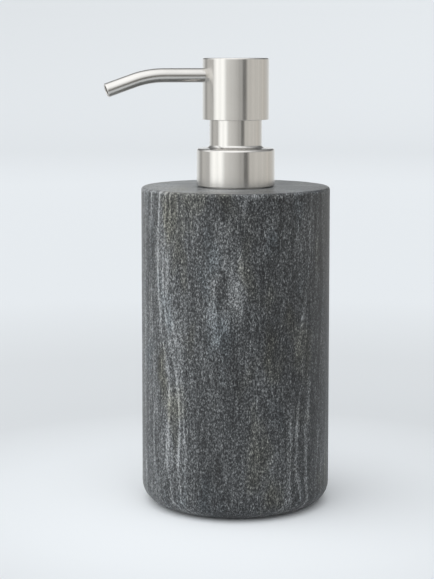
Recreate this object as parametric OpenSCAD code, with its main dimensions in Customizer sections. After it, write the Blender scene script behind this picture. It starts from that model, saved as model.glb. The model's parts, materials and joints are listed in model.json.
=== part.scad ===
// Soap pump dispenser: a turned stone reservoir with a screwed-on steel pump.
// Origin at the centre of the foot, +Z up, spout along -X. Millimetres.

/* [Stone reservoir] */
// Outer diameter of the stone
stone_d = 75; // [62:0.5:95]
// Height of the stone
stone_h = 126; // [104:1:170]
// Radius of the rounded foot edge
foot_r = 7.5; // [2:0.5:8]
// Radius of the softened top edge
rim_r = 1.2; // [0.4:0.1:3]
// Thickness of the side wall
stone_wall = 10.5; // [9.5:0.5:12.5]
// Thickness of stone left over the cavity
stone_roof = 20; // [17:0.5:26]
// Radius between the cavity's wall and its roof
cavity_r = 5; // [1:0.5:6]

/* [Base] */
// Thickness of the stone disc that closes the cavity
plug_t = 8; // [5:0.5:12]
// Width of the shoulder that the disc seats on
plug_ledge = 1.5; // [1:0.25:1.5]
// Thickness of the anti-slip pad
pad_t = 1.5; // [1:0.25:2.5]
// Height by which the pad stands below the stone
pad_proud = 0.5; // [0.25:0.05:0.9]
// Margin between the pad and the disc's edge
pad_margin = 2.5; // [1:0.5:6]

/* [Neck fitting] */
// Gap between the pump housing and the neck's bore
neck_clear = 2; // [1:0.25:3]
// Wall of the neck under its thread
neck_wall = 2.5; // [1.8:0.1:3.2]
// Depth of the screw thread
thread_depth = 1.1; // [0.9:0.05:1.3]
// Rise of the thread in one turn
thread_pitch = 4.23; // [4.1:0.01:4.6]
// Height of the neck over the stone
neck_h = 10.6; // [9:0.1:14]
// Wall of the shank set in the stone
shank_wall = 3; // [2.4:0.1:3.2]
// Length of the shank
shank_l = 14; // [10:0.5:15]
// Thickness of the flange on the stone
neck_flange_t = 1.1; // [0.8:0.1:1.2]

/* [Collar] */
// Wall of the screw cap round its thread
cap_wall = 0.95; // [0.8:0.05:1.6]
// Sheet thickness of the steel skirt
steel_t = 0.6; // [0.4:0.05:0.8]
// Thickness of the collar's top at its rim
collar_top_t = 0.65; // [0.5:0.05:1]
// Rise of the collar's top from rim to neck
crown_rise = 0.4; // [0.2:0.05:0.7]
// Gap between the collar and the stone
collar_gap = 0.4; // [0.2:0.05:0.6]
// Radius of the collar's top edge
collar_edge_r = 0.6; // [0.3:0.05:0.6]
// Outside diameter of the steel neck sleeve
sleeve_d = 20.9; // [17.4:0.1:23]
// Wall of the neck sleeve
sleeve_wall = 0.7; // [0.5:0.05:0.9]
// Radius of the flare at the sleeve's root
sleeve_flare_r = 0.6; // [0.3:0.05:0.8]
// Thickness of the screw cap's top
cap_top_t = 1.35; // [1:0.05:1.8]

/* [Head] */
// Thickness of the head's plastic liner
liner_t = 1.65; // [1.2:0.05:2.4]
// Wall of the head's shell
head_wall = 0.7; // [0.5:0.05:0.9]
// Thickness of the shell's top
head_top_t = 0.8; // [0.6:0.05:1.2]
// Radius of the head's top edge
head_edge_r = 0.6; // [0.3:0.05:0.8]
// Distance of the spout's axis below the head's top
spout_drop = 6.8; // [5.6:0.1:8.2]
// Thickness of the core below the spout
spout_floor = 1.4; // [1:0.1:4]
// Gap left over the collar when the head is down
head_rest_gap = 0.95; // [0.8:0.05:2]
// Length of neck sleeve inside the raised head
sleeve_lap = 1.95; // [1:0.05:3]

/* [Spout] */
// Outside diameter of the spout
spout_d = 5.6; // [4.6:0.1:6.8]
// Wall of the spout
spout_wall = 0.6; // [0.4:0.05:0.8]
// Distance from the head's axis to the start of the bend
spout_run = 29; // [24:0.5:45]
// Radius of the bend
bend_r = 37; // [20:1:60]
// Angle of the spout's end below level
bend_angle = 19.5; // [5:0.5:40]
// Straight length after the bend
spout_tail = 11.2; // [4:0.1:20]

/* [Pump] */
// Travel of the head
stroke = 10.5; // [7:0.25:13]
// Bore of the pump housing
pump_bore_d = 13; // [12:0.1:15.8]
// Wall of the pump housing
housing_wall = 1.5; // [1.2:0.05:1.8]
// Thickness of the housing's flange
flange_t = 1.2; // [1:0.05:1.6]
// Thickness of the sealing washer
washer_t = 1.2; // [0.8:0.05:1.6]
// Outside diameter of the stem
stem_d = 7; // [6.2:0.1:8.4]
// Bore of the stem
stem_bore_d = 4; // [3.4:0.1:4.8]
// Height of the piston
piston_h = 10.8; // [9:0.1:13]
// Travel of the piston on its rod
piston_lag = 1.2; // [0.8:0.1:1.6]
// Wire diameter of the return spring
wire_d = 0.9; // [0.7:0.05:1.1]
// Gap between the return spring and the housing's bore
spring_clear = 1.7; // [1.4:0.05:1.9]
// Coils of the return spring
spring_coils = 10; // [8:1:12]
// Length of the spring at rest
spring_l = 28.5; // [26:0.5:34]
// Diameter of the inlet ball
ball_d = 4.76; // [4:0.01:5.8]
// Lift of the inlet ball
ball_lift = 1; // [0.6:0.1:1.4]
// Outside diameter of the dip tube
tube_d = 6; // [5:0.1:7.2]
// Wall of the dip tube
tube_wall = 0.7; // [0.5:0.05:0.9]
// Gap between the dip tube and the reservoir's floor
tube_floor_gap = 3; // [2:0.5:8]

/* [Hidden] */
$fn = 96;

// Clearances
bond_gap = 0.1;        // glue line around bonded pieces
press_gap = 0.02;      // pieces pushed into a socket
run_gap = 0.05;        // shaft in a bore, and faces that turn on each other
slide_gap = 0.35;      // sleeve inside the head's liner
stop_gap = 0.8;        // left at the end of the head's travel
thread_side_gap = 0.15;
thread_crest_gap = 0.35;
cut = 1;               // overrun of a cutting tool past a face

// Radii, from the pump outwards
pump_r = pump_bore_d / 2;
housing_r = pump_r + housing_wall;
neck_bore_r = housing_r + neck_clear;
neck_r = neck_bore_r + neck_wall;
crest_r = neck_r + thread_depth;
shank_r = neck_bore_r + shank_wall;
cap_in_r = crest_r + thread_crest_gap;
cap_r = cap_in_r + cap_wall;
skirt_in_r = cap_r + run_gap;
collar_r = skirt_in_r + steel_t;
sleeve_r = sleeve_d / 2;
sleeve_in_r = sleeve_r - sleeve_wall;
liner_in_r = sleeve_r + slide_gap;
liner_r = liner_in_r + liner_t;
head_in_r = liner_r + run_gap;
head_r = head_in_r + head_wall;
stem_r = stem_d / 2;
stem_bore_r = stem_bore_d / 2;
spout_r = spout_d / 2;
spout_in_r = spout_r - spout_wall;
tube_r = tube_d / 2;
ball_r = ball_d / 2;
wire_r = wire_d / 2;
spring_r = pump_r - spring_clear;
stone_r = stone_d / 2;
bore_r = stone_r - stone_wall;
plug_bore_r = bore_r + plug_ledge;

// Heights, from the foot up
stone_z0 = pad_proud;
stone_top = stone_z0 + stone_h;
plug_top = pad_t + plug_t;
cavity_top = stone_top - stone_roof;
neck_top = stone_top + neck_h;
washer_z0 = neck_top + run_gap;
flange_z0 = washer_z0 + washer_t;
flange_top = flange_z0 + flange_t;
cap_disc_z0 = flange_top + run_gap;
cap_top = cap_disc_z0 + cap_top_t;
collar_top = cap_top + collar_top_t;
collar_z0 = stone_top + collar_gap;
head_z0 = collar_top + stroke + head_rest_gap;
sleeve_top = head_z0 + sleeve_lap;
core_z0 = sleeve_top + stroke + stop_gap;
spout_z = core_z0 + spout_floor + spout_r;
head_top = spout_z + spout_drop;
core_top = head_top - head_top_t;

// Pump interior, from the guide down
guide_flange_t = 0.8;
guide_flange_r = sleeve_in_r - 0.75;
guide_depth = 6.5;
guide_rise = 4.5;
guide_r = pump_r - 0.5;
guide_z0 = flange_top - guide_depth;
guide_top = cap_top + guide_rise;
piston_top = guide_z0 - piston_lag - 0.4;
piston_z0 = piston_top - piston_h;
rod_r = stem_bore_r + 0.45;
hub_r = rod_r + 1.95;
hub_l = 7.1;
hub_top = piston_z0 + hub_l;
stem_z0 = hub_top + piston_lag + 0.1;
seat_disc_t = 2;
seat_disc_r = max(hub_r + 0.2, spring_r - wire_r + 0.25);
seat_z0 = piston_z0 - run_gap - seat_disc_t;
spring_z0 = seat_z0 - spring_l;
cage_disc_t = 1.5;
cage_rim_h = 1.5;
cage_z0 = spring_z0 - cage_disc_t;

// Ball valve: a ball on a conical seat
seat_cone_a = 42;
ball_chamber_r = ball_r + 0.8;
seat_hole_r = 1.4;
seat_cone_h = (ball_chamber_r - seat_hole_r) / tan(seat_cone_a);
nub_l = 1.1;
nub_r = 0.9;
ball_z = cage_z0 - nub_l - 0.1 - ball_lift - ball_r;
cone_apex_z = ball_z - (ball_r + run_gap) / sin(seat_cone_a);
cone_z0 = cone_apex_z + seat_hole_r / tan(seat_cone_a);
cone_z1 = cone_z0 + seat_cone_h;
tube_stop_t = 1;
socket_l = 9;
socket_wall = 1.4;
socket_top = cone_z0 - tube_stop_t;
socket_z0 = socket_top - socket_l;
tube_z0 = plug_top + tube_floor_gap;

// Head interior
boss_r = stem_r + 2;
boss_z0 = guide_top + stroke + stop_gap;
stem_top = core_z0 + spout_floor - 0.5;
liner_z0 = head_z0 + 0.6;
spout_x0 = 4.5;
seal_w = 1.4;
seal_t = 1.2;
seal_x = 7.5;

// Screw threads
root_w = 2;
crest_w = 1.2;
flank = (root_w - crest_w) / thread_depth;
cap_crest_r = neck_r + 0.4;
cap_crest_w = 1;
cap_root_w = cap_crest_w + flank * (cap_in_r - cap_crest_r);
mesh_w = (root_w - flank * (cap_crest_r - neck_r) + cap_crest_w) / 2;
cap_thread_drop = mesh_w + thread_side_gap;
lugs_per_turn = 6;
lug_a = 48;            // angle that one lug spans
lug_rise = thread_pitch / lugs_per_turn;
thread_run = neck_h - neck_flange_t - root_w - 0.8;
neck_lugs = floor(thread_run / lug_rise);
cap_lugs = neck_lugs - 2;
cap_thread_start = 0.2;
neck_thread_z = stone_top + neck_flange_t + root_w / 2 + 0.4;
sink = 0.3;            // depth of a ridge's root in its wall

// A ring section between two radii and two heights
module band(r0, r1, z0, z1) {
    translate([r0, z0])
        square([r1 - r0, z1 - z0]);
}

// What is cut off an outside corner to round it; side points into the material
module corner_cut(r, z, radius, side) {
    over = 0.2;
    difference() {
        translate([side[0] > 0 ? r - over : r - radius, side[1] > 0 ? z - over : z - radius])
            square(radius + over);
        translate([r + side[0] * radius, z + side[1] * radius])
            circle(radius);
    }
}

// What fills an inside corner; side points into the open space
module corner_fill(r, z, radius, side) {
    difference() {
        translate([side[0] > 0 ? r - sink : r - radius, side[1] > 0 ? z - sink : z - radius])
            square(radius + sink);
        translate([r + side[0] * radius, z + side[1] * radius])
            circle(radius);
    }
}

// An interrupted screw thread: short arcs of ridge, each tilted to the thread's lead
module thread_lugs(root_r, crest_r, root_w, crest_w, z_start, from_turn, lugs) {
    buried = root_r + (root_r > crest_r ? sink : -sink);
    lead = atan(thread_pitch / (2 * PI * crest_r));
    for (i = [0:lugs - 1]) {
        turn = from_turn + (i + 0.5) / lugs_per_turn;
        translate([0, 0, z_start + thread_pitch * turn])
            rotate([0, 0, 360 * turn])
                rotate([lead, 0, 0])
                    rotate([0, 0, -lug_a / 2])
                        rotate_extrude(angle = lug_a)
                            polygon([
                                [buried, -root_w / 2], [crest_r, -crest_w / 2],
                                [crest_r, crest_w / 2], [buried, root_w / 2]
                            ]);
    }
}

// Turned stone body, bored from below, with a stepped bore for the neck
module stone_body() {
    color("dimgray")
        rotate_extrude()
            difference() {
                band(0, stone_r, stone_z0, stone_top);
                corner_cut(stone_r, stone_z0, foot_r, [-1, 1]);
                corner_cut(stone_r, stone_top, rim_r, [-1, -1]);
                band(0, plug_bore_r, stone_z0 - cut, plug_top);
                difference() {
                    band(0, bore_r, plug_top - cut, cavity_top);
                    corner_cut(bore_r, cavity_top, cavity_r, [-1, -1]);
                }
                band(0, neck_bore_r + 1, cavity_top - cut, stone_top);
                band(0, shank_r + bond_gap, stone_top - shank_l - 1, stone_top + cut);
            }
}

// Stone disc bonded against the shoulder under the cavity
module base_plug() {
    r = plug_bore_r - bond_gap;
    color("gray")
        rotate_extrude()
            difference() {
                band(0, r, pad_t, plug_top);
                corner_cut(r, pad_t, 0.5, [-1, 1]);
            }
}

// Anti-slip foam pad on the disc, which the dispenser stands on
module base_pad() {
    color("black")
        cylinder(r = plug_bore_r - pad_margin, h = pad_t);
}

// Threaded ferrule: a grooved shank in the stone, a flange on it, a neck above
module neck_insert() {
    groove_r = 0.5;
    color("silver") {
        rotate_extrude()
            difference() {
                union() {
                    band(neck_bore_r, shank_r, stone_top - shank_l, stone_top);
                    band(neck_bore_r, crest_r, stone_top, stone_top + neck_flange_t);
                    band(neck_bore_r, neck_r, stone_top, neck_top);
                }
                corner_cut(neck_r, neck_top, 0.5, [-1, -1]);
                for (i = [1:3])
                    translate([shank_r, stone_top - shank_l * i / 4])
                        circle(groove_r);
            }
        thread_lugs(neck_r, crest_r, root_w, crest_w, neck_thread_z, 0, neck_lugs);
    }
}

// Soft washer between the neck and the housing's flange
module sealing_washer() {
    color("white")
        rotate_extrude()
            band(housing_r + run_gap, neck_r + 0.1, washer_z0, flange_z0);
}

// Pump housing: flange, cylinder, ball seat and dip-tube socket
module pump_housing() {
    vent_r = 0.6;
    vent_z = piston_z0 + hub_l / 2;
    shoulder_z = cage_z0 - 1.5;
    socket_r = tube_r + socket_wall;
    throat_r = ball_chamber_r + 1.6;
    color("ghostwhite")
        difference() {
            rotate_extrude()
                difference() {
                    union() {
                        band(0, neck_r - 0.3, flange_z0, flange_top);
                        band(0, housing_r, shoulder_z, flange_top);
                        band(0, throat_r, cone_z0, shoulder_z);
                        band(0, socket_r, socket_z0, cone_z0);
                    }
                    corner_cut(housing_r, shoulder_z, 1.2, [-1, 1]);
                    band(0, pump_r, cage_z0, flange_top + cut);
                    band(0, ball_chamber_r, cone_z1, cage_z0 + cut);
                    polygon([[0, cone_z0], [seat_hole_r, cone_z0], [ball_chamber_r, cone_z1], [0, cone_z1]]);
                    band(0, seat_hole_r, socket_top - cut, cone_z1);
                    band(0, tube_r + press_gap, socket_z0 - cut, socket_top);
                }
            translate([0, 0, vent_z])
                rotate([0, 90, 0])
                    cylinder(r = vent_r, h = housing_r + cut);
        }
}

// Guide snapped into the housing's mouth, with the stem's bearing bore
module stem_guide() {
    color("whitesmoke")
        rotate_extrude()
            difference() {
                union() {
                    band(0, pump_r - run_gap, guide_z0, flange_top);
                    band(0, guide_flange_r, flange_top, flange_top + guide_flange_t);
                    band(0, guide_r, flange_top, guide_top);
                }
                corner_cut(guide_r, guide_top, 0.6, [-1, -1]);
                corner_cut(pump_r - run_gap, guide_z0, 0.5, [-1, 1]);
                band(0, stem_r + run_gap, guide_z0 - cut, guide_top + cut);
            }
}

// Perforated seat for the spring, with the nub that stops the ball
module ball_cage() {
    port_r = 0.85;
    port_at = 2.4;
    ports = 6;
    color("whitesmoke")
        difference() {
            rotate_extrude()
                difference() {
                    union() {
                        band(0, pump_r - run_gap, cage_z0, cage_z0 + cage_disc_t + cage_rim_h);
                        band(0, nub_r, cage_z0 - nub_l, cage_z0);
                    }
                    band(0, spring_r + 0.2, spring_z0, spring_z0 + cage_rim_h + cut);
                }
            for (i = [0:ports - 1])
                rotate([0, 0, 360 * i / ports])
                    translate([port_at, 0, cage_z0 - cut])
                        cylinder(r = port_r, h = cage_disc_t + cut * 2);
        }
}

// Inlet check ball, resting on the housing's cone
module inlet_ball() {
    color("lightblue")
        translate([0, 0, ball_z])
            sphere(ball_r);
}

// Dip tube, cut on the slant so that it can't seal on the floor
module dip_tube() {
    slant = 40;
    color("ghostwhite")
        difference() {
            translate([0, 0, tube_z0])
                cylinder(r = tube_r, h = socket_top - tube_z0);
            translate([0, 0, tube_z0 - cut])
                cylinder(r = tube_r - tube_wall, h = socket_top - tube_z0 + cut * 2);
            translate([tube_r, 0, tube_z0])
                rotate([0, slant, 0])
                    translate([-tube_d * 4, -tube_d, -tube_d * 2])
                        cube([tube_d * 8, tube_d * 2, tube_d * 2]);
        }
}

// Return spring: a helix whose end coils close up flat
module return_spring() {
    sides = 6;
    per_coil = 18;
    n = spring_coils * per_coil;
    helix_r = spring_r - wire_r;
    closed_pitch = wire_d * 1.04;
    span = spring_l - wire_d - closed_pitch * 2;
    function rise(c) =
        c < 1 ? closed_pitch * c :
        c > spring_coils - 1 ? span + closed_pitch * (c - spring_coils + 2) :
        closed_pitch + span * (c - 1) / (spring_coils - 2);
    points = [for (i = [0:n], k = [0:sides - 1]) let(
            coil = i / per_coil,
            turn = 360 * coil,
            side = 360 * k / sides,
            r = helix_r + wire_r * cos(side))
        [r * cos(turn), r * sin(turn), spring_z0 + wire_r + rise(coil) + wire_r * sin(side)]];
    skin = [for (i = [0:n - 1], k = [0:sides - 1])
        each let(a = sides * i + k, b = sides * i + (k + 1) % sides)
            [[a, b + sides, b], [a, a + sides, b + sides]]];
    ends = [[for (k = [0:sides - 1]) k], [for (k = [sides - 1:-1:0]) sides * n + k]];
    color("silver")
        polyhedron(points, concat(skin, ends), convexity = 10);
}

// Piston: hub and valve skirt on the rod, sealing lips on the bore
module piston() {
    lip_t = 0.9;
    lip_r = pump_r - run_gap;
    skirt_h = 2.4;
    web_t = 1.6;
    color("lightcyan")
        rotate_extrude()
            difference() {
                union() {
                    band(rod_r + run_gap, hub_r, piston_z0, hub_top);
                    band(hub_r - 0.5, lip_r, hub_top - web_t - 1, hub_top - 1);
                    band(lip_r - lip_t, lip_r, piston_z0 + 1, piston_top);
                    corner_fill(hub_r, hub_top - 1, 0.5, [1, 1]);
                }
                band(0, hub_r - 0.8, piston_z0 - cut, piston_z0 + skirt_h);
                corner_cut(lip_r - lip_t, piston_top, 0.3, [1, -1]);
            }
}

// Hollow stem from the head down to the piston's stop
module stem() {
    color("whitesmoke")
        rotate_extrude()
            difference() {
                band(stem_bore_r, stem_r, stem_z0, stem_top);
                corner_cut(stem_r, stem_z0, 0.4, [-1, 1]);
            }
}

// Valve rod in the stem's lower end: ported shank, seat disc, spring spigot
module valve_rod() {
    duct_r = 1.1;
    port_r = 0.6;
    spigot_l = 4;
    spigot_r = spring_r - wire_d - 0.3;
    plug_l = 7;
    port_z = piston_z0 + 1;
    color("whitesmoke")
        difference() {
            rotate_extrude()
                difference() {
                    union() {
                        band(0, stem_bore_r - press_gap, stem_z0, stem_z0 + plug_l);
                        band(0, rod_r, seat_z0, stem_z0);
                        band(0, seat_disc_r, seat_z0, seat_z0 + seat_disc_t);
                        band(0, spigot_r, seat_z0 - spigot_l, seat_z0);
                    }
                    corner_cut(spigot_r, seat_z0 - spigot_l, 1, [-1, 1]);
                    band(0, duct_r, port_z - port_r, stem_z0 + plug_l + cut);
                }
            for (a = [0, 90])
                rotate([0, 0, a])
                    translate([-seat_disc_r, 0, port_z])
                        rotate([0, 90, 0])
                            cylinder(r = port_r, h = seat_disc_r * 2);
        }
}

// Plastic core of the head: stem socket, spout channel and a liner skirt
module head_insert() {
    duct_r = 1.8;
    color("whitesmoke")
        difference() {
            rotate_extrude()
                difference() {
                    union() {
                        band(0, liner_r, core_z0, core_top);
                        band(liner_in_r, liner_r, liner_z0, core_top);
                        band(0, boss_r, boss_z0, core_z0);
                    }
                    corner_cut(liner_r, core_top, 0.5, [-1, -1]);
                    band(0, stem_r + press_gap, boss_z0 - cut, stem_top);
                    band(0, duct_r, stem_top - cut, spout_z);
                }
            translate([-head_r, 0, spout_z])
                rotate([0, 90, 0])
                    cylinder(r = spout_r + press_gap, h = head_r - spout_x0);
            translate([-head_r, 0, spout_z])
                rotate([0, 90, 0])
                    cylinder(r = duct_r, h = head_r + duct_r);
            translate([-seal_x - seal_w, 0, spout_z])
                rotate([0, 90, 0])
                    cylinder(r = spout_r + seal_t + press_gap, h = seal_w);
        }
}

// Steel shell of the head, a drawn cup with a hole for the spout
module head_shell() {
    color("lightsteelblue")
        difference() {
            rotate_extrude()
                difference() {
                    band(0, head_r, head_z0, head_top);
                    corner_cut(head_r, head_top, head_edge_r, [-1, -1]);
                    corner_cut(head_r, head_z0, 0.2, [-1, 1]);
                    difference() {
                        band(0, head_in_r, head_z0 - cut, core_top);
                        corner_cut(head_in_r, core_top, 0.4, [-1, -1]);
                    }
                }
            translate([-head_r - cut, 0, spout_z])
                rotate([0, 90, 0])
                    cylinder(r = spout_r + press_gap, h = head_r);
        }
}

// Seal around the spout, in its groove in the head's core
module spout_seal() {
    color("black")
        translate([-seal_x - seal_w, 0, spout_z])
            rotate([0, 90, 0])
                rotate_extrude()
                    band(spout_r + press_gap, spout_r + seal_t, 0, seal_w);
}

// Steel spout: a pipe swept level, round the bend and down the tail, cut square
module spout_tube() {
    sides = 32;
    bend_steps = 10;
    bend_z = spout_z - bend_r;
    tail_x = -spout_run - bend_r * sin(bend_angle);
    tail_z = bend_z + bend_r * cos(bend_angle);
    // Each station is a point on the axis and the slope there
    stations = concat(
        [[-spout_x0, spout_z, 0]],
        [for (i = [0:bend_steps]) let(a = bend_angle * i / bend_steps)
            [-spout_run - bend_r * sin(a), bend_z + bend_r * cos(a), a]],
        [[tail_x - spout_tail * cos(bend_angle), tail_z - spout_tail * sin(bend_angle), bend_angle]]);
    last = len(stations) - 1;
    inner = sides * len(stations);
    function ring(s, r) = [for (k = [0:sides - 1]) let(t = 360 * k / sides)
        [s[0] - r * sin(t) * sin(s[2]), r * cos(t), s[1] + r * sin(t) * cos(s[2])]];
    points = concat(
        [for (s = stations) each ring(s, spout_r)],
        [for (s = stations) each ring(s, spout_in_r)]);
    function quad(a, b, c, d) = [[a, b, c], [a, c, d]];
    faces = [for (k = [0:sides - 1]) let(m = (k + 1) % sides, e = last * sides) each concat(
        [for (i = [0:last - 1]) let(o = i * sides) each concat(
            quad(o + k, o + k + sides, o + m + sides, o + m),
            quad(inner + o + m, inner + o + m + sides, inner + o + k + sides, inner + o + k))],
        quad(k, m, inner + m, inner + k),
        quad(inner + e + k, inner + e + m, e + m, e + k))];
    color("silver")
        polyhedron(points, faces, convexity = 6);
}

// Steel collar: skirt, low crowned top and neck sleeve in one
module collar_shell() {
    root_z = collar_top + crown_rise;
    color("lightsteelblue")
        rotate_extrude()
            difference() {
                union() {
                    band(skirt_in_r, collar_r, collar_z0, cap_top);
                    polygon([
                        [sleeve_in_r, cap_top], [collar_r, cap_top],
                        [collar_r, collar_top], [sleeve_in_r, root_z]
                    ]);
                    band(sleeve_in_r, sleeve_r, cap_top, sleeve_top);
                    corner_fill(sleeve_r, root_z, sleeve_flare_r, [1, 1]);
                }
                corner_cut(collar_r, collar_top, collar_edge_r, [-1, -1]);
                corner_cut(collar_r, collar_z0, 0.2, [-1, 1]);
                corner_cut(sleeve_r, sleeve_top, 0.3, [-1, -1]);
            }
}

// Plastic screw cap inside the collar, with the thread that grips the neck
module screw_cap() {
    hole_r = guide_flange_r + 0.3;
    start_z = collar_z0 + 0.3;
    color("whitesmoke") {
        rotate_extrude()
            difference() {
                band(0, cap_r, start_z, cap_top);
                corner_cut(cap_r, cap_top, 0.4, [-1, -1]);
                band(0, cap_in_r, start_z - cut, cap_disc_z0);
                band(0, hole_r, cap_disc_z0 - cut, cap_top + cut);
            }
        thread_lugs(cap_in_r, cap_crest_r, cap_root_w, cap_crest_w,
            neck_thread_z - cap_thread_drop, cap_thread_start, cap_lugs);
    }
}

stone_body();
base_plug();
base_pad();
neck_insert();
sealing_washer();
pump_housing();
stem_guide();
ball_cage();
inlet_ball();
dip_tube();
return_spring();
piston();
stem();
valve_rod();
head_insert();
head_shell();
spout_seal();
spout_tube();
collar_shell();
screw_cap();
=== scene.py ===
# %% [markdown]
# # A soap pump dispenser in turned stone and satin steel
# A heavy stone cylinder holds the soap, and a steel pump is screwed on top of it. The working model
# already exists as CAD parts that know how to move. This lesson loads them, keeps every size they have,
# and gives the parts that show a better surface: smooth turned forms, a bent spout, a real wire spring,
# and a finish for each material.

# %% Load the working model
import json
import math
import bpy
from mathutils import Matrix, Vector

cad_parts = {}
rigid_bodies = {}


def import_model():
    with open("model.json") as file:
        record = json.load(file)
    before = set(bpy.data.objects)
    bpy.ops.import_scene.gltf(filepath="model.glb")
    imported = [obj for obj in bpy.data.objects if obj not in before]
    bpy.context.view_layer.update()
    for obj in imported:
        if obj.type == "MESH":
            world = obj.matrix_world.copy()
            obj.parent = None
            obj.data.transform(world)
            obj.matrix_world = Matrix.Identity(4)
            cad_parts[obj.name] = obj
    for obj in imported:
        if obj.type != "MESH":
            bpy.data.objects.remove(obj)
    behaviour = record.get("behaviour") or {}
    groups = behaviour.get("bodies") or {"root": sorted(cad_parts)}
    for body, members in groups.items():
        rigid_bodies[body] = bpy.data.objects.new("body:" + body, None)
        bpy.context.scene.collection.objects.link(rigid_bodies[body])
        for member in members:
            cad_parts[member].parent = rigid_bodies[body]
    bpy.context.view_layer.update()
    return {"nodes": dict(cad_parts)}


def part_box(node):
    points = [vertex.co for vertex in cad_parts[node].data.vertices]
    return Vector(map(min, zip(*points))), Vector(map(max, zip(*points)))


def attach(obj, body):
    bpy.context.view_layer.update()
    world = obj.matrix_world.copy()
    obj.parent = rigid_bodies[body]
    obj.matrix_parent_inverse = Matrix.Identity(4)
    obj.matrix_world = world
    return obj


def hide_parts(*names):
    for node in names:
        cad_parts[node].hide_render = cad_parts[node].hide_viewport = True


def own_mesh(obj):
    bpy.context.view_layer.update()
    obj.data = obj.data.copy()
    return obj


for leftover in list(bpy.data.objects):
    bpy.data.objects.remove(leftover)
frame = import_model()
scene = bpy.context.scene
MM = 0.001

# %% [markdown]
# ## The camera
# A product is often seen from a little above with a long lens, so that its upright sides stay upright.
# The lens tips down by about five degrees and is shifted down for the rest, so the cylinder hardly
# tapers. The camera stands fourteen degrees to one side of the spout's own side view, and is turned a
# trace further to centre the object.

# %% Camera
TURN = math.radians(14)
LOOK_DOWN = math.radians(5.276)
CENTRING = 0.0003
lens = bpy.data.cameras.new("camera")
lens.lens = 94.67
lens.shift_y = -0.15
camera = bpy.data.objects.new("camera", lens)
camera.location = (-0.1536, -0.5847, 0.1757)
camera.rotation_euler = (math.pi / 2 - LOOK_DOWN, 0, -TURN - CENTRING)
scene.collection.objects.link(camera)
scene.camera = camera
print("camera is", round(camera.location.length, 3), "m from the foot")

# %% [markdown]
# ## Small tools
# Every finish and every generated shape below is a tree of nodes. `put` adds one node, sets its options,
# and fills each input with a value or with another node's output, so a tree reads from top to bottom.
# The other tools are short names for the nodes that come back most often.

# %% Node tools
def put(tree, kind, inputs=None, **options):
    """Adds one node with its options, and fills or links its inputs."""
    node = tree.nodes.new(kind)
    for name, value in options.items():
        setattr(node, name, value)
    for key, value in (inputs or {}).items():
        if isinstance(value, bpy.types.NodeSocket):
            tree.links.new(value, node.inputs[key])
        else:
            node.inputs[key].default_value = value
    return node


def maths(tree, operation, *values):
    """One Math node; values are numbers or outputs."""
    return put(tree, "ShaderNodeMath", dict(enumerate(values)), operation=operation).outputs[0]


def vectors(tree, operation, first, second=None, scale=None):
    """One Vector Math node; lengths and dot products give a number, the others a vector."""
    inputs = {0: first}
    if second is not None:
        inputs[1] = second
    if scale is not None:
        inputs["Scale"] = scale
    node = put(tree, "ShaderNodeVectorMath", inputs, operation=operation)
    return node.outputs["Value" if operation in ("LENGTH", "DOT_PRODUCT") else "Vector"]


def split(tree, vector):
    """The X, Y and Z of a vector, by name."""
    return put(tree, "ShaderNodeSeparateXYZ", {0: vector}).outputs


def ease(tree, value, start, end, first=0.0, last=1.0, kind="SMOOTHSTEP"):
    """Carries a value from one range to another and stops at both ends."""
    node = put(tree, "ShaderNodeMapRange", {0: value, 1: start, 2: end, 3: first, 4: last},
               interpolation_type=kind)
    return node.outputs[0]


def mix(tree, factor, first, second, kind="MIX"):
    """Goes from one colour to another."""
    node = put(tree, "ShaderNodeMix", {0: factor, 6: first, 7: second}, data_type="RGBA",
               blend_type=kind)
    return node.outputs[2]


def add_up(tree, start, *rows):
    """Adds values to a start, each times its own strength."""
    for value, strength in rows:
        start = maths(tree, "MULTIPLY_ADD", value, strength, start)
    return start


def ramp(tree, factor, stops):
    """A colour ramp; each stop is a position and a grey level or a colour."""
    node = put(tree, "ShaderNodeValToRGB", {0: factor})
    marks = node.color_ramp.elements
    while len(marks) < len(stops):
        marks.new(0.5)
    for mark, (place, tone) in zip(marks, stops):
        mark.position = place
        mark.color = (*tone, 1) if isinstance(tone, tuple) else (tone, tone, tone, 1)
    return node.outputs[0]


print("node tools ready")

# %% [markdown]
# ## The stage
# A seamless sweep has no corner between floor and wall, so no line shows behind the object. Here the
# sweep is a shallow bowl that closes all round, which works from every side. The floor near the object
# takes part in all the light. The rest of the bowl is only a backdrop. Light and shade are painted into
# the paper's tone by the distance from the middle: a painted pool of light under the object, painted
# shade round it, painted light again further out, and a little painted shade on the far wall. The list
# below gives each distance in metres with its tone.

# %% Floor and backdrop
def bowl(name, outline, steps=128):
    """A turned sheet for the stage, from points of radius and height in metres."""
    points = [(0, 0, outline[0][1])] if outline[0][0] == 0 else []
    rings = [point for point in outline if point[0] > 0]
    for radius, height in rings:
        for step in range(steps):
            angle = math.tau * step / steps
            points.append((radius * math.cos(angle), radius * math.sin(angle), height))
    first = len(points) - len(rings) * steps
    faces = []
    for step in range(steps):
        after = (step + 1) % steps
        if first:
            faces.append((0, first + step, first + after))
        for ring in range(len(rings) - 1):
            low = first + ring * steps
            high = low + steps
            faces.append((low + step, high + step, high + after, low + after))
    mesh = bpy.data.meshes.new(name)
    mesh.from_pydata(points, [], faces)
    mesh.shade_smooth()
    sheet = bpy.data.objects.new(name, mesh)
    scene.collection.objects.link(sheet)
    return sheet


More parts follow.
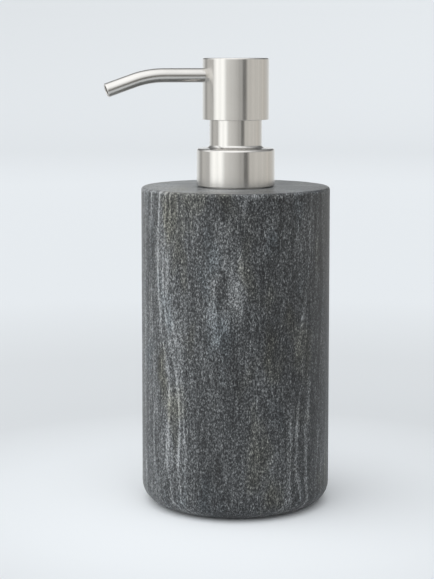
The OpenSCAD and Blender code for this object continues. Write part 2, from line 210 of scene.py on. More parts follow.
NEAR = 0.45
FLAT = 2.4
SWEEP = 1.6
WALL_TOP = 3.2
sweep = [(NEAR, 0), (FLAT / 2, 0)]
for step in range(17):
    angle = math.radians(90 * step / 16)
    sweep.append((FLAT + SWEEP * math.sin(angle), SWEEP - SWEEP * math.cos(angle)))
sweep.append((FLAT + SWEEP, WALL_TOP))
floor = bowl("floor", [(0, 0), (0.1, 0), (NEAR, 0)])
backdrop = bowl("backdrop", sweep)
backdrop.visible_diffuse = False
backdrop.visible_glossy = False
backdrop.visible_transmission = False
backdrop.visible_shadow = False
paper = bpy.data.materials.new("paper_painted_light")
paper.use_nodes = True
paper_shader = paper.node_tree.nodes["Principled BSDF"]
RAMP_REACH = 4.0
# These tones paint light and shade on the paper: a pool of light under the object, shade round it, light
# again further out, and shade on the far wall.
PAINTED_LIGHT_ON_PAPER = [
    (0.048, (0.92, 0.945, 0.965)), (0.096, (0.84, 0.865, 0.885)), (0.16, (0.695, 0.715, 0.73)),
    (0.30, (0.70, 0.72, 0.735)), (0.52, (0.78, 0.805, 0.825)), (1.6, (0.79, 0.815, 0.835)),
    (3.8, (0.63, 0.65, 0.665)),
]
paper_place = put(paper.node_tree, "ShaderNodeTexCoord").outputs["Object"]
paper_place = vectors(paper.node_tree, "SCALE", paper_place, scale=1 / RAMP_REACH)
painted_light_stops = [(metres / RAMP_REACH, tone) for metres, tone in PAINTED_LIGHT_ON_PAPER]
painted_light_tone = ramp(paper.node_tree, vectors(paper.node_tree, "LENGTH", paper_place), painted_light_stops)
paper.node_tree.links.new(painted_light_tone, paper_shader.inputs["Base Color"])
paper_shader.inputs["Roughness"].default_value = 0.9
paper_shader.inputs["Specular IOR Level"].default_value = 0.1
for sheet in (floor, backdrop):
    sheet.data.materials.append(paper)
print("stage reaches", FLAT + SWEEP, "m")

# %% [markdown]
# ## The light
# Brushed steel shows whatever stands round it, so a studio lights it with large white sheets and dark
# boards. The world shader below is that studio. Near the horizon it is a ring: a large soft box to the
# left, a dark board right of the lens, a warm reflector on the right and white paper behind. Higher up a
# soft canopy takes over, brightest above and to the left of the lens. Above the paper behind the
# object the studio falls darker.
#
# Each mark of the ring is a bearing in degrees from the lens, a brightness, and how warm the light is.
# The brightest part of the canopy lies in the direction `KEY`, which is so much forward to the lens,
# so much to the left and so much up.

# %% Light ring
RING = [
    (-180, 0.95, 0.0), (-152, 0.98, 0.0), (-137, 0.80, 0.2), (-124, 0.42, 0.5), (-113, 0.72, 0.5),
    (-85, 0.66, 0.4), (-79, 1.25, 0.2), (-70, 1.60, 0.2), (-44, 1.60, 0.2), (-37, 1.30, 0.2),
    (-31, 0.92, 0.4), (-20, 0.84, 0.4), (-8, 0.75, 0.4), (10, 0.58, 0.5), (22, 0.48, 0.5),
    (25, 0.22, 0.6), (33, 0.20, 0.6), (37, 0.42, 0.7), (42, 0.76, 0.7), (60, 0.80, 0.7),
    (90, 0.80, 0.7), (112, 0.74, 0.9), (137, 0.74, 0.5), (155, 0.88, 0.1), (180, 0.95, 0.0),
]
COOL = (0.955, 0.985, 1.0)
WARM = (1.0, 0.965, 0.90)
world = bpy.data.worlds.new("studio")
world.use_nodes = True
scene.world = world
sky = world.node_tree
direction = put(sky, "ShaderNodeTexCoord").outputs["Generated"]
to_lens = (-math.sin(TURN), -math.cos(TURN), 0)
to_right = (math.cos(TURN), -math.sin(TURN), 0)
ahead = vectors(sky, "DOT_PRODUCT", direction, to_lens)
aside = vectors(sky, "DOT_PRODUCT", direction, to_right)
around = maths(sky, "ARCTAN2", aside, ahead)
share = maths(sky, "MULTIPLY_ADD", around, 1 / math.tau, 0.5)
stops = []
for degrees, level, warmth in RING:
    tone = tuple(level * (c + (w - c) * warmth) for c, w in zip(COOL, WARM))
    stops.append((degrees / 360 + 0.5, tone))
ring_light = ramp(sky, share, stops)
height = split(sky, direction)["Z"]
print("light ring has", len(RING), "marks")

# %% Light from above
CANOPY = (0.97, 0.985, 1.0)
DARKER_BEHIND = 0.56
FORWARD = 0.42
LEFTWARD = 0.46
UPWARD = 0.78
key_x, key_y = [FORWARD * front - LEFTWARD * right for front, right in zip(to_lens[:2], to_right[:2])]
KEY = (key_x, key_y, UPWARD)
overhead = ease(sky, height, 0.05, 0.30)
falloff = ease(sky, vectors(sky, "DOT_PRODUCT", direction, KEY), 0.0, 0.95, 0.50, 1.62)
canopy = vectors(sky, "SCALE", CANOPY, scale=falloff)
studio = mix(sky, overhead, ring_light, canopy)
behind = ease(sky, ahead, -0.15, -0.7)
above = ease(sky, height, 0.10, 0.26)
shade = maths(sky, "MULTIPLY_ADD", maths(sky, "MULTIPLY", behind, above), -DARKER_BEHIND, 1.0)
shaded = vectors(sky, "SCALE", studio, scale=shade)
sky.links.new(shaded, sky.nodes["Background"].inputs["Color"])
scene.view_settings.view_transform = "Standard"
print("light from above is ready")

# %% [markdown]
# ## Finishes: where to start
# Each finish is a Principled shader fed by noise. Patterns read Object coordinates, in metres, so they
# stay fixed in the material as a real grain does. `finish` starts a material and hands back the parts
# that every recipe needs, with the place on the object turned into millimetres.

# %% Finish tools
def finish(name, **fixed):
    """A new material: its tree, its shader, and the place on the object in millimetres."""
    material = bpy.data.materials.new(name)
    material.use_nodes = True
    tree = material.node_tree
    shader = tree.nodes["Principled BSDF"]
    for socket, value in fixed.items():
        shader.inputs[socket.replace("_", " ")].default_value = value
    place = put(tree, "ShaderNodeTexCoord").outputs["Object"]
    return material, tree, shader, vectors(tree, "SCALE", place, scale=1 / MM)


def noise(tree, place, stretch, detail=3.0, rough=0.55):
    """Noise on a stretched place; stretch is how many blobs there are in a millimetre."""
    stretched = vectors(tree, "MULTIPLY", place, stretch)
    made = put(tree, "ShaderNodeTexNoise", {
        "Vector": stretched, "Scale": 1.0, "Detail": detail, "Roughness": rough})
    return made.outputs["Fac"]


def spread(tree, value, low, high):
    """Maps noise, which stays near one half, onto a wanted range."""
    return ease(tree, value, 0.3, 0.7, low, high, "LINEAR")


def bump(tree, shader, height, depth_mm, strength=1.0):
    """Feeds a height to the shader's normal; the depth is in millimetres."""
    made = put(tree, "ShaderNodeBump", {
        "Height": height, "Distance": depth_mm * MM, "Strength": strength})
    tree.links.new(made.outputs[0], shader.inputs["Normal"])


finishes = {}
print("finish tools ready")

# %% [markdown]
# ## Stone
# The stone is laid down in thin wavy sheets, like pages that have been squeezed. Where the turned side
# cuts across the pages they show as tight upright stripes, and where it runs along them they open into
# broad speckled patches. So the finish measures depth through the pages, bends it with slow noise, and
# reads light and dark from that depth. Grains of about half a millimetre lie on top, longer than wide,
# with fine upright streaks between them and large patches that are a little lighter or darker.
#
# `depth` drives the pages. `seam` is a calmer depth for the veins, and its sheets are turned and lean a
# little. The two offsets, in millimetres, slide each pattern through the block.

# %% Stone pages
PAGE = 1 / 0.24
PAGE_OFFSET = 16.5
SEAM_OFFSET = 8.9
SEAM_TURN = 0.07
SEAM_LEAN = 0.028
stone, tree, shader, place = finish("stone", Specular_IOR_Level=0.4)
turned = put(tree, "ShaderNodeVectorRotate", {"Vector": place, "Angle": TURN}, rotation_type="Z_AXIS")
page_place = turned.outputs[0]
parts = split(tree, page_place)
slow = noise(tree, page_place, (0.018, 0.018, 0.007), 2.0)
middle = noise(tree, page_place, (0.11, 0.11, 0.030), 3.0)
quick = noise(tree, page_place, (0.42, 0.42, 0.085), 4.0, 0.6)
depth = add_up(tree, parts["Y"], (slow, 22.0), (middle, 6.0), (quick, 5.0), (1.0, -PAGE_OFFSET))
seam = add_up(tree, parts["Y"], (slow, 22.0), (middle, 2.6), (quick, 1.0),
              (parts["X"], -SEAM_TURN), (parts["Z"], -SEAM_LEAN), (1.0, -SEAM_OFFSET))
pages = put(tree, "ShaderNodeTexNoise", {
    "W": maths(tree, "MULTIPLY", depth, 1 / PAGE), "Scale": 1.0, "Detail": 5.0, "Roughness": 0.62},
    noise_dimensions="1D").outputs["Fac"]
grains = noise(tree, page_place, (1.9, 1.9, 1.1), 4.0, 0.72)
streaks = noise(tree, page_place, (0.95, 0.95, 0.075), 3.0, 0.65)
patches = noise(tree, page_place, (0.07, 0.07, 0.018), 3.0)
fading = noise(tree, page_place, (0.05, 0.05, 0.03), 2.0)
print("stone pages are about", round(PAGE, 1), "mm thick")

# %% [markdown]
# Among the pages are a few pale veins. Each is a thin sheet at its own depth, brightest in the middle
# and fading out in places. The crystals are a Voronoi pattern that gives each its own brightness.

# %% Stone veins and crystals
def vein(tree, depth, at, width):
    """A thin pale sheet; depth, its own depth and its width are all in millimetres."""
    away = maths(tree, "DIVIDE", maths(tree, "SUBTRACT", depth, at), width)
    return maths(tree, "EXPONENT", maths(tree, "MULTIPLY", maths(tree, "MULTIPLY", away, away), -1.0))


VEINS = [
    (-22.0, 0.55, 1.0), (-24.6, 0.40, 0.9), (-26.4, 0.5, 0.7), (-17.0, 0.35, 0.7), (-9.5, 0.5, 0.4),
    (3.0, 0.6, 0.7), (12.5, 0.9, 0.8), (21.0, 0.7, 0.9), (25.5, 0.6, 0.6),
]
pale = add_up(tree, 0.0, *[(vein(tree, seam, at, width), strength) for at, width, strength in VEINS])
pale = maths(tree, "MULTIPLY", pale, spread(tree, fading, 0.0, 0.21))
fine = vectors(tree, "MULTIPLY", page_place, (2.0, 2.0, 1.1))
crystals = put(tree, "ShaderNodeTexVoronoi", {"Vector": fine, "Scale": 1.0}).outputs["Color"]
sparkle = split(tree, crystals)["X"]
print("stone has", len(VEINS), "veins")

# %% [markdown]
# All of that is added up into one tone, and a ramp turns the tone into the colour of stone, from nearly
# black to pale grey. The tone also falls off toward the right of the lens, a painted shade across the
# block. The top face and the last two millimetres under the top edge are a little paler. A faint tint
# goes from bluish to olive in large patches. The top face is polished more than the side.

# %% Stone colour and gloss
PALER_FROM = 2.2
PALER_TO = 0.4
# The next number darkens the stone toward the right of the lens: a painted shade across the block.
PAINTED_SHADE_ACROSS = 0.0019
DARKEN = 0.512
stone_low, stone_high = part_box("stone_body")
edge = stone_high.z / MM
brow = ease(tree, parts["Z"], edge - PALER_FROM, edge - PALER_TO, 0.0, 0.10, "LINEAR")
tone = add_up(tree, 0.0, (pages, 0.42), (grains, 1.30), (patches, 0.25), (streaks, 0.24),
              (sparkle, 0.06), (parts["X"], -PAINTED_SHADE_ACROSS), (pale, 1.0), (brow, 1.0), (1.0, -DARKEN))
colour = ramp(tree, tone, [
    (0.44, (0.006, 0.006, 0.007)), (0.58, (0.026, 0.0275, 0.029)), (0.68, (0.074, 0.078, 0.080)),
    (0.78, (0.175, 0.183, 0.187)), (0.92, (0.42, 0.43, 0.435)),
])
olive = noise(tree, page_place, (0.07, 0.07, 0.03), 2.0)
tint = ramp(tree, olive, [
    (0.30, (0.90, 0.96, 1.0)), (0.44, (1.0, 1.0, 1.0)), (0.56, (1.0, 1.0, 1.0)),
    (0.70, (1.0, 0.965, 0.83)),
])
tree.links.new(mix(tree, 1.0, colour, tint, "MULTIPLY"), shader.inputs["Base Color"])
top = maths(tree, "GREATER_THAN", parts["Z"], edge - 0.15)
side_gloss = spread(tree, grains, 0.40, 0.52)
top_gloss = spread(tree, grains, 0.26, 0.32)
gloss = put(tree, "ShaderNodeMix", {0: top, 2: side_gloss, 3: top_gloss}, data_type="FLOAT")
tree.links.new(gloss.outputs[0], shader.inputs["Roughness"])
bump(tree, shader, grains, 0.12, 0.7)
finishes["stone"] = stone
print("stone finish ready")

# %% [markdown]
# ## Satin steel
# The collar, the sleeve and the head were spun against a fine abrasive, which leaves hair lines round
# the axis. Such lines spread a reflection along the axis and keep it sharp across it, which is what an
# anisotropic shader does. The lines themselves are noise that changes fast with height and radius and
# slowly round the part. Wiping by hand also leaves faint upright differences, so the tone varies a
# little with the bearing round the axis.

# %% Steel spun round the axis
STEEL = (0.66, 0.64, 0.61, 1)
WIPED = (0.575, 0.56, 0.535, 1)


def spun_steel(name, roughness=0.17, line_depth=0.003):
    """Satin steel with hair lines round the upright axis."""
    material, tree, shader, place = finish(
        name, Metallic=1.0, Anisotropic=0.75, Anisotropic_Rotation=0.25)
    parts = split(tree, place)
    flat = put(tree, "ShaderNodeCombineXYZ", {0: parts["X"], 1: parts["Y"]}).outputs[0]
    radius = vectors(tree, "LENGTH", flat)
    drift = maths(tree, "MULTIPLY", parts["X"], 0.02)
    along = put(tree, "ShaderNodeCombineXYZ", {0: radius, 1: parts["Z"], 2: drift}).outputs[0]
    lines = noise(tree, along, (7.0, 7.0, 1.0), 3.0, 0.7)
    bearing = vectors(tree, "NORMALIZE", flat)
    wiping = noise(tree, bearing, (9.0, 9.0, 1.0), 5.0, 0.75)
    cloud = noise(tree, place, (0.09, 0.09, 0.05), 3.0)
    shade = mix(tree, spread(tree, wiping, 0.0, 1.0), STEEL, WIPED)
    tree.links.new(shade, shader.inputs["Base Color"])
    level = add_up(tree, spread(tree, cloud, roughness - 0.08, roughness - 0.02), (lines, 0.10))
    tree.links.new(level, shader.inputs["Roughness"])
    axis = put(tree, "ShaderNodeTangent", direction_type="RADIAL", axis="Z").outputs[0]
    tree.links.new(axis, shader.inputs["Tangent"])
    bump(tree, shader, lines, line_depth)
    finishes[name] = material


spun_steel("satin_steel")
spun_steel("neck_steel", 0.26, 0.006)
print("spun steel ready")

# %% [markdown]
# ## Drawn steel
# The spout is a drawn tube, polished along its length, so its hair lines run the other way and follow
# the bend. They can't read the place on the object. They read where each point lay before the tube was
# bent, which the tube's own shape recipe stores for them under the name `straight`. Spring wire is
# drawn too, and is a little rougher.

# %% Steel drawn along its length
DRAWN_STEEL = (0.59, 0.575, 0.55, 1)


def drawn_steel(name, roughness=0.19):
    """Satin steel with hair lines along a bent tube or wire."""
    material, tree, shader, place = finish(name, Metallic=1.0)
    straight = put(tree, "ShaderNodeAttribute", attribute_name="straight").outputs["Vector"]
    scaled = vectors(tree, "SCALE", straight, scale=1 / MM)
    lines = noise(tree, scaled, (6.0, 6.0, 0.12), 3.0, 0.7)
    cloud = noise(tree, place, (0.15, 0.15, 0.15), 3.0)
    shade = mix(tree, cloud, STEEL, DRAWN_STEEL)
    tree.links.new(shade, shader.inputs["Base Color"])
    level = add_up(tree, spread(tree, cloud, roughness - 0.07, roughness - 0.01), (lines, 0.10))
    tree.links.new(level, shader.inputs["Roughness"])
    bump(tree, shader, lines, 0.004)
    finishes[name] = material


drawn_steel("drawn_steel")
drawn_steel("spring_steel", 0.28)
print("drawn steel ready")

# %% [markdown]
# ## Plastics
# Pump parts are injection moulded. White ones have an even, slightly waxy skin with a faint flow mottle.
# The housing and the dip tube are left clear, so they look milky and let light through. The piston is a
# softer grade with a bluish tint.

# %% Moulded plastics
def moulded(name, colour, shade, roughness, through=0.0, index=1.5):
    """A moulded plastic: two close tones, a fine spark-eroded skin, and some light let through."""
    material, tree, shader, place = finish(name, IOR=index, Transmission_Weight=through)
    flow = noise(tree, place, (0.16, 0.16, 0.07), 3.0)
    skin = noise(tree, place, (5.0, 5.0, 5.0), 2.0)
    mixed = mix(tree, flow, (*colour, 1), (*shade, 1))
    tree.links.new(mixed, shader.inputs["Base Color"])
    tree.links.new(spread(tree, flow, roughness - 0.04, roughness + 0.06), shader.inputs["Roughness"])
    bump(tree, shader, skin, 0.012, 0.5)
    finishes[name] = material


moulded("white_plastic", (0.80, 0.80, 0.78), (0.72, 0.72, 0.70), 0.42)
moulded("clear_plastic", (0.86, 0.88, 0.88), (0.76, 0.79, 0.80), 0.24, 0.75, 1.50)
moulded("piston_plastic", (0.62, 0.70, 0.76), (0.54, 0.62, 0.69), 0.38)
moulded("ball_glass", (0.90, 0.95, 0.94), (0.80, 0.90, 0.88), 0.06, 0.9, 1.52)
print("plastics ready")

# %% [markdown]
# ## Rubber and foam
# The spout's seal is black rubber with a dull bloom. The washer under the pump is closed-cell foam, and
# the pad under the foot is a firmer dark foam. Foam shows tiny cut cells, which a Voronoi pattern gives.

# %% Rubber and foam
def cellular(name, colour, shade, cell, pit, roughness):
    """Foam or rubber: tiny cells pressed in the skin, and a mottled tone."""
    material, tree, shader, place = finish(name)
    small = vectors(tree, "SCALE", place, scale=1 / cell)
    cells = put(tree, "ShaderNodeTexVoronoi", {"Vector": small, "Scale": 1.0}).outputs["Distance"]
    mottle = noise(tree, place, (0.3, 0.3, 0.3), 4.0)
    mixed = mix(tree, mottle, (*colour, 1), (*shade, 1))
    tree.links.new(mixed, shader.inputs["Base Color"])
    tree.links.new(spread(tree, mottle, roughness - 0.08, roughness + 0.08), shader.inputs["Roughness"])
    bump(tree, shader, cells, pit, 0.8)
    finishes[name] = material


cellular("seal_rubber", (0.016, 0.016, 0.017), (0.030, 0.030, 0.031), 0.16, 0.010, 0.55)
cellular("washer_foam", (0.74, 0.74, 0.72), (0.66, 0.66, 0.64), 0.35, 0.06, 0.80)
cellular("pad_foam", (0.030, 0.030, 0.032), (0.048, 0.048, 0.050), 0.45, 0.08, 0.78)
print("finishes", sorted(finishes))

# %% [markdown]
# ## Turning on a lathe
# The stone, the collar and the head were all made on a lathe, so one rule gives them all: an outline in
# the plane of the axis, rounded at its corners, then carried once round. The Geometry Nodes tree takes
# the corners as a loop of edges with a rounding on each, fillets them, sweeps the loop round a circle,
# marks the edges that stay sharp and sets the finish. An edge that lies on the axis itself sweeps into a
# bare line with no faces, so such lines are deleted. A weighted-normal step keeps long walls flat up
# to their rounded edges, so reflections run straight.

# %% Lathe tree
def shape_tree(name, sizes):
    """A geometry tree with one geometry in, named sizes, and one geometry out."""
    tree = bpy.data.node_groups.new(name, "GeometryNodeTree")
    face = tree.interface
    face.new_socket("Geometry", in_out="INPUT", socket_type="NodeSocketGeometry")
    for label, kind, value in sizes:
        socket = face.new_socket(label, in_out="INPUT", socket_type=kind)
        if value is not None:
            socket.default_value = value
    face.new_socket("Geometry", in_out="OUTPUT", socket_type="NodeSocketGeometry")
    return tree, tree.nodes.new("NodeGroupInput").outputs, tree.nodes.new("NodeGroupOutput").inputs[0]


def sharpen(tree, geometry, degrees=32):
    """Shades smooth, and keeps the edges that turn by more than this angle sharp."""
    soft = put(tree, "GeometryNodeSetShadeSmooth", {"Geometry": geometry, "Shade Smooth": True})
    turn = put(tree, "GeometryNodeInputMeshEdgeAngle").outputs[0]
    keep = maths(tree, "LESS_THAN", turn, math.radians(degrees))
    return put(tree, "GeometryNodeSetShadeSmooth", {"Geometry": soft.outputs[0], "Shade Smooth": keep},
               domain="EDGE").outputs[0]


def settle(tree, geometry, finish_socket, result):
    """The end of every tree: real geometry with its finish set."""
    real = put(tree, "GeometryNodeRealizeInstances", {0: geometry}).outputs[0]
    dressed = put(tree, "GeometryNodeSetMaterial", {"Geometry": real, "Material": finish_socket})
    tree.links.new(dressed.outputs[0], result)


lathe, given, result = shape_tree("lathe", [
    ("Steps around", "NodeSocketInt", 160), ("Steps in a corner", "NodeSocketInt", 8),
    ("Finish", "NodeSocketMaterial", None),
])
CIRCLE = 0.01
loop = put(lathe, "GeometryNodeMeshToCurve", {"Mesh": given["Geometry"]}).outputs[0]
rounding = put(lathe, "GeometryNodeInputNamedAttribute", {"Name": "rounding"}, data_type="FLOAT")
eased = put(lathe, "GeometryNodeFilletCurve", {
    "Curve": loop, "Count": given["Steps in a corner"], "Radius": rounding.outputs["Attribute"],
    "Limit Radius": True}, mode="POLY")
laid = put(lathe, "GeometryNodeTransform", {
    "Geometry": eased.outputs[0], "Translation": (-CIRCLE, 0, 0), "Rotation": (math.pi / 2, 0, 0)})
path = put(lathe, "GeometryNodeCurvePrimitiveCircle", {
    "Resolution": given["Steps around"], "Radius": CIRCLE}, mode="RADIUS")
swept = put(lathe, "GeometryNodeCurveToMesh", {
    "Curve": path.outputs[0], "Profile Curve": laid.outputs[0]})
closed = put(lathe, "GeometryNodeMergeByDistance", {"Geometry": swept.outputs[0], "Distance": 1e-7})
touching = put(lathe, "GeometryNodeInputMeshEdgeNeighbors").outputs["Face Count"]
bare = put(lathe, "FunctionNodeCompare", {"A": touching, "B": 0}, data_type="INT", operation="EQUAL")
cleared = put(lathe, "GeometryNodeDeleteGeometry", {
    "Geometry": closed.outputs[0], "Selection": bare.outputs[0]}, domain="EDGE", mode="EDGE_FACE")
flipped = put(lathe, "GeometryNodeFlipFaces", {"Mesh": cleared.outputs[0]})
settle(lathe, sharpen(lathe, flipped.outputs[0]), given["Finish"], result)
print("lathe tree has", len(lathe.nodes), "nodes")

# %% Baking a tree into a piece
def outline(corners):
    """A closed outline, anticlockwise; each corner is radius, height and rounding in millimetres."""
    mesh = bpy.data.meshes.new("outline")
    points = [(radius * MM, 0, height * MM) for radius, height, _ in corners]
    mesh.from_pydata(points, [(i, (i + 1) % len(points)) for i in range(len(points))], [])
    values = mesh.attributes.new("rounding", "FLOAT", "POINT")
    values.data.foreach_set("value", [corner[2] * MM for corner in corners])
    return mesh


def bake(name, start, tree, sizes):
    """Runs a shape tree on a mesh and returns the result as a plain object."""
    helper = bpy.data.objects.new(name + "_blank", start)
    scene.collection.objects.link(helper)
    shaping = helper.modifiers.new("shape", "NODES")
    shaping.node_group = tree
    for socket in tree.interface.items_tree:
        if socket.in_out == "INPUT" and socket.name in sizes:
            shaping[socket.identifier] = sizes[socket.name]
    evening = helper.modifiers.new("even", "WEIGHTED_NORMAL")
    evening.keep_sharp = True
    evening.weight = 100
    depsgraph = bpy.context.evaluated_depsgraph_get()
    mesh = bpy.data.meshes.new_from_object(helper.evaluated_get(depsgraph), depsgraph=depsgraph)
    mesh.name = name
    bpy.data.objects.remove(helper)
    piece = bpy.data.objects.new(name, mesh)
    scene.collection.objects.link(piece)
    print(name, len(mesh.polygons), "faces")
    return piece


def mount(piece, body, slot, *nodes):
    """Puts a piece on its body and lets it stand for CAD parts; the slot is not used."""
    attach(piece, body)
    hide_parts(*nodes)


# %% [markdown]
# ## The stone body
# The outside is a plain cylinder with a soft top edge and a rounded foot. The inside is bored from
# below for the soap, with a step near the foot for the closing disc and a narrower bore at the top for
# the steel ferrule. One closed outline gives all of it, so the wall has its real thickness.

# %% Turn the stone
STONE_R = stone_high.x / MM
STONE_FOOT = stone_low.z / MM
STONE_TOP = stone_high.z / MM
plug_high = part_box("base_plug")[1]
DISC_R = plug_high.x / MM + 0.1
DISC_TOP = plug_high.z / MM
FERRULE_R = 13.1
FERRULE_END = STONE_TOP - 15
THROAT_R = 11
ROOF = STONE_TOP - 20
HOLLOW_R = STONE_R - 10.5
stone_piece = bake("turned_stone", outline([
    (DISC_R, STONE_FOOT, 0.3), (STONE_R, STONE_FOOT, 7.5), (STONE_R, STONE_TOP, 1.2),
    (FERRULE_R, STONE_TOP, 0.3), (FERRULE_R, FERRULE_END, 0), (THROAT_R, FERRULE_END, 0),
    (THROAT_R, ROOF, 0), (HOLLOW_R, ROOF, 5), (HOLLOW_R, DISC_TOP, 0), (DISC_R, DISC_TOP, 0),
]), lathe, {"Steps around": 192, "Finish": stone})
mount(stone_piece, "reservoir", "stone", "stone_body")

# %% [markdown]
# ## The collar and the head
# The collar is one spun piece: a skirt, a barely domed top with a rounded lip, a small flare, and the
# sleeve that the head slides on. The head is a drawn cup turned upside down. Both are thin, and both
# show their bright rounded edges, so the corners get a few more steps.

# %% Turn the collar and the head
collar_low, collar_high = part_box("collar_shell")
COLLAR_R = collar_high.x / MM
COLLAR_FOOT = collar_low.z / MM
COLLAR_TOP = collar_high.z / MM
LIP = 141.6
DOME = 0.4
SLEEVE_R = 10.45
SKIRT_IN = COLLAR_R - 0.6
SLEEVE_IN = SLEEVE_R - 0.7
UNDERSIDE = LIP - 0.65
collar = bake("steel_collar", outline([
    (SKIRT_IN, COLLAR_FOOT, 0.15), (COLLAR_R, COLLAR_FOOT, 0.2), (COLLAR_R, LIP, 1.0),
    (SLEEVE_R, LIP + DOME, 1.3), (SLEEVE_R, COLLAR_TOP, 0.3), (SLEEVE_IN, COLLAR_TOP, 0.2),
    (SLEEVE_IN, UNDERSIDE, 0), (SKIRT_IN, UNDERSIDE, 0),
]), lathe, {"Steps around": 192, "Steps in a corner": 10, "Finish": finishes["satin_steel"]})
mount(collar, "collar", "satin_steel", "collar_shell")
head_low, head_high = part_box("head_shell")
HEAD_R = head_high.x / MM
HEAD_FOOT = head_low.z / MM
HEAD_TOP = head_high.z / MM
CUP_IN = HEAD_R - 0.7
CUP_ROOF = HEAD_TOP - 0.8
head = bake("steel_head", outline([
    (CUP_IN, HEAD_FOOT, 0.15), (HEAD_R, HEAD_FOOT, 0.2), (HEAD_R, HEAD_TOP, 0.6), (0, HEAD_TOP, 0),
    (0, CUP_ROOF, 0), (CUP_IN, CUP_ROOF, 0.4),
]), lathe, {"Steps around": 192, "Steps in a corner": 10, "Finish": finishes["satin_steel"]})
mount(head, "head", "satin_steel", "head_shell")

# %% [markdown]
# ## The spout
# A pipe is bent after it is made, so the recipe does the same. A straight pipe with rounded lips is
# turned first. A second tree then lays it along a path of two straight lines with a filleted corner,
# and writes down where each point lay before the bend, for the hair lines.

# %% Bending tree
bender, given, result = shape_tree("bent_pipe", [
    ("Path", "NodeSocketObject", None), ("Bend radius", "NodeSocketFloat", 0.037),
    ("Bend steps", "NodeSocketInt", 48), ("Finish", "NodeSocketMaterial", None),
])
line = put(bender, "GeometryNodeObjectInfo", {"Object": given["Path"]}).outputs["Geometry"]
line = put(bender, "GeometryNodeMeshToCurve", {"Mesh": line}).outputs[0]
line = put(bender, "GeometryNodeFilletCurve", {
    "Curve": line, "Count": given["Bend steps"], "Radius": given["Bend radius"]}, mode="POLY").outputs[0]
spot = put(bender, "GeometryNodeInputPosition").outputs[0]
kept = put(bender, "GeometryNodeStoreNamedAttribute", {
    "Geometry": given["Geometry"], "Name": "straight", "Value": spot}, data_type="FLOAT_VECTOR")
xyz = split(bender, spot)
at = put(bender, "GeometryNodeSampleCurve", {"Curves": line, "Length": xyz["Z"]}, mode="LENGTH").outputs
SIDE = (0, 1, 0)
out = vectors(bender, "NORMALIZE", vectors(bender, "CROSS_PRODUCT", at["Tangent"], SIDE))
across = vectors(bender, "SCALE", SIDE, scale=xyz["X"])
upward = vectors(bender, "SCALE", out, scale=xyz["Y"])
moved = vectors(bender, "ADD", vectors(bender, "ADD", at["Position"], across), upward)
bent = put(bender, "GeometryNodeSetPosition", {"Geometry": kept.outputs[0], "Position": moved})
settle(bender, sharpen(bender, bent.outputs[0]), given["Finish"], result)
print("bending tree has", len(bender.nodes), "nodes")

# %% Bend the spout
spout_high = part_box("spout_tube")[1]
PIPE_R = 2.8
BORE_R = 2.2
BEND_R = 37.0
BEND = math.radians(19.5)
RUN = 29.0
TAIL = 11.2
START = -spout_high.x / MM
AXIS = spout_high.z / MM - PIPE_R
LONG = RUN - START + BEND_R * BEND + TAIL
LIP_ROUND = 0.28
cuts = [LONG * step / 64 for step in range(1, 64)]
wall = [(BORE_R, 0, 0), (PIPE_R, 0, 0)] + [(PIPE_R, cut, 0) for cut in cuts]
wall += [(PIPE_R, LONG, LIP_ROUND), (BORE_R, LONG, LIP_ROUND)]
wall += [(BORE_R, cut, 0) for cut in reversed(cuts)]
pipe = bake("straight_pipe", outline(wall), lathe, {"Steps around": 64, "Steps in a corner": 6})
corner = RUN + BEND_R * math.tan(BEND / 2)
reach = TAIL + BEND_R * math.tan(BEND / 2)
tip = (-corner - reach * math.cos(BEND), AXIS - reach * math.sin(BEND))
route = bpy.data.meshes.new("route")
route.from_pydata([(-START * MM, 0, AXIS * MM), (-corner * MM, 0, AXIS * MM),
                   (tip[0] * MM, 0, tip[1] * MM)], [(0, 1), (1, 2)], [])
guide = bpy.data.objects.new("route", route)
scene.collection.objects.link(guide)
spout = bake("steel_spout", pipe.data, bender, {
    "Path": guide, "Bend radius": BEND_R * MM, "Finish": finishes["drawn_steel"]})
bpy.data.objects.remove(guide)
bpy.data.objects.remove(pipe)
mount(spout, "head", "satin_steel", "spout_tube")
print("spout is", round(LONG, 2), "mm long")

# %% [markdown]
# ## The return spring
# The spring is a wire helix whose first and last coils lie closed, so that it stands flat on its seats.
# The tree draws one turn after another as a spiral, then lifts each point to a height that rises slowly
# at both ends and faster between them, and sweeps a small circle along it. `CLOSED_RISE` is how far a
# closed coil rises in one turn, in wire radii, a little more than the wire's own thickness.

# %% Spring tree
FREE_LENGTH = 28.5
FOOT = 90.1
CLOSED_RISE = 2.08
winder, given, result = shape_tree("wire_spring", [
    ("Coils", "NodeSocketInt", 10), ("Coil radius", "NodeSocketFloat", 0.00435),
    ("Wire radius", "NodeSocketFloat", 0.00045), ("Length", "NodeSocketFloat", FREE_LENGTH * MM),
    ("Foot", "NodeSocketFloat", FOOT * MM), ("Finish", "NodeSocketMaterial", None),
])
coil = put(winder, "GeometryNodeCurveSpiral", {
    "Resolution": 48, "Rotations": given["Coils"], "Start Radius": given["Coil radius"],
    "End Radius": given["Coil radius"], "Height": 0.0}).outputs[0]
travel = put(winder, "GeometryNodeSplineParameter").outputs["Factor"]
turns = maths(winder, "MULTIPLY", travel, given["Coils"])
after_first = maths(winder, "SUBTRACT", turns, 1.0)
open_turns = maths(winder, "SUBTRACT", given["Coils"], 2.0)
first = maths(winder, "MINIMUM", turns, 1.0)
last = maths(winder, "MAXIMUM", maths(winder, "SUBTRACT", after_first, open_turns), 0.0)
free = maths(winder, "MINIMUM", maths(winder, "MAXIMUM", after_first, 0.0), open_turns)
wire = given["Wire radius"]
closed_pitch = maths(winder, "MULTIPLY", wire, CLOSED_RISE)
taken = maths(winder, "MULTIPLY", wire, 2 + 2 * CLOSED_RISE)
open_pitch = maths(winder, "DIVIDE", maths(winder, "SUBTRACT", given["Length"], taken), open_turns)
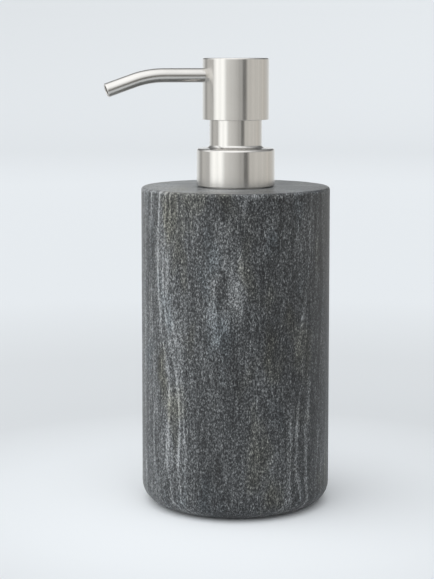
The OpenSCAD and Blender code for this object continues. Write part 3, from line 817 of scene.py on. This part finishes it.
rise = maths(winder, "MULTIPLY", maths(winder, "ADD", first, last), closed_pitch)
rise = add_up(winder, rise, (free, open_pitch), (given["Foot"], 1.0), (wire, 1.0))
flat = split(winder, put(winder, "GeometryNodeInputPosition").outputs[0])
lifted = put(winder, "ShaderNodeCombineXYZ", {0: flat["X"], 1: flat["Y"], 2: rise}).outputs[0]
coil = put(winder, "GeometryNodeSetPosition", {"Geometry": coil, "Position": lifted}).outputs[0]
unwound = put(winder, "ShaderNodeCombineXYZ", {2: maths(winder, "MULTIPLY", turns, 0.02)}).outputs[0]
coil = put(winder, "GeometryNodeStoreNamedAttribute", {
    "Geometry": coil, "Name": "straight", "Value": unwound}, data_type="FLOAT_VECTOR").outputs[0]
section = put(winder, "GeometryNodeCurvePrimitiveCircle", {
    "Resolution": 12, "Radius": given["Wire radius"]}, mode="RADIUS").outputs[0]
rod = put(winder, "GeometryNodeCurveToMesh", {"Curve": coil, "Profile Curve": section, "Fill Caps": True})
settle(winder, sharpen(winder, rod.outputs[0]), given["Finish"], result)
print("spring tree has", len(winder.nodes), "nodes")

# %% Wind the spring
spring_low, spring_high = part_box("return_spring")
blank = bpy.data.meshes.new("blank")
spring = bake("wire_spring", blank, winder, {"Finish": finishes["spring_steel"]})
mount(spring, "spring", "spring_steel", "return_spring")
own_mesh(spring)
print("spring stands from", round(spring_low.z / MM, 2), "to", round(spring_high.z / MM, 2), "mm")

# %% [markdown]
# ## The foot pad and the washer
# Both are cut from sheet foam, and foam edges are never sharp. Each is a turned disc with soft edges.

# %% Foam pieces
pad_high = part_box("base_pad")[1]
PAD_R = pad_high.x / MM
PAD_TOP = pad_high.z / MM
pad = bake("foot_pad", outline([
    (0, 0, 0), (PAD_R, 0, 0.45), (PAD_R, PAD_TOP, 0.15), (0, PAD_TOP, 0),
]), lathe, {"Steps around": 128, "Finish": finishes["pad_foam"]})
mount(pad, "reservoir", "pad_foam", "base_pad")
ring_low, ring_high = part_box("sealing_washer")
WASHER_R = ring_high.x / MM
WASHER_FOOT = ring_low.z / MM
WASHER_TOP = ring_high.z / MM
HOLE_R = 8.05
washer = bake("foam_washer", outline([
    (HOLE_R, WASHER_FOOT, 0.2), (WASHER_R, WASHER_FOOT, 0.3), (WASHER_R, WASHER_TOP, 0.3),
    (HOLE_R, WASHER_TOP, 0.2),
]), lathe, {"Steps around": 96, "Finish": finishes["washer_foam"]})
mount(washer, "pump_body", "washer_foam", "sealing_washer")

# %% [markdown]
# ## Finishes on the working parts
# The parts inside the pump already have their true shape, so they keep it. Each only trades its plain
# colour for the finish of its own material slot.

# %% Dress the working parts
for name, part in sorted(frame["nodes"].items()):
    slot_name = part.material_slots[0].material.name.split(".")[0]
    part.material_slots[0].material = finishes[slot_name]
    if not part.hide_render:
        print(name, "->", slot_name)
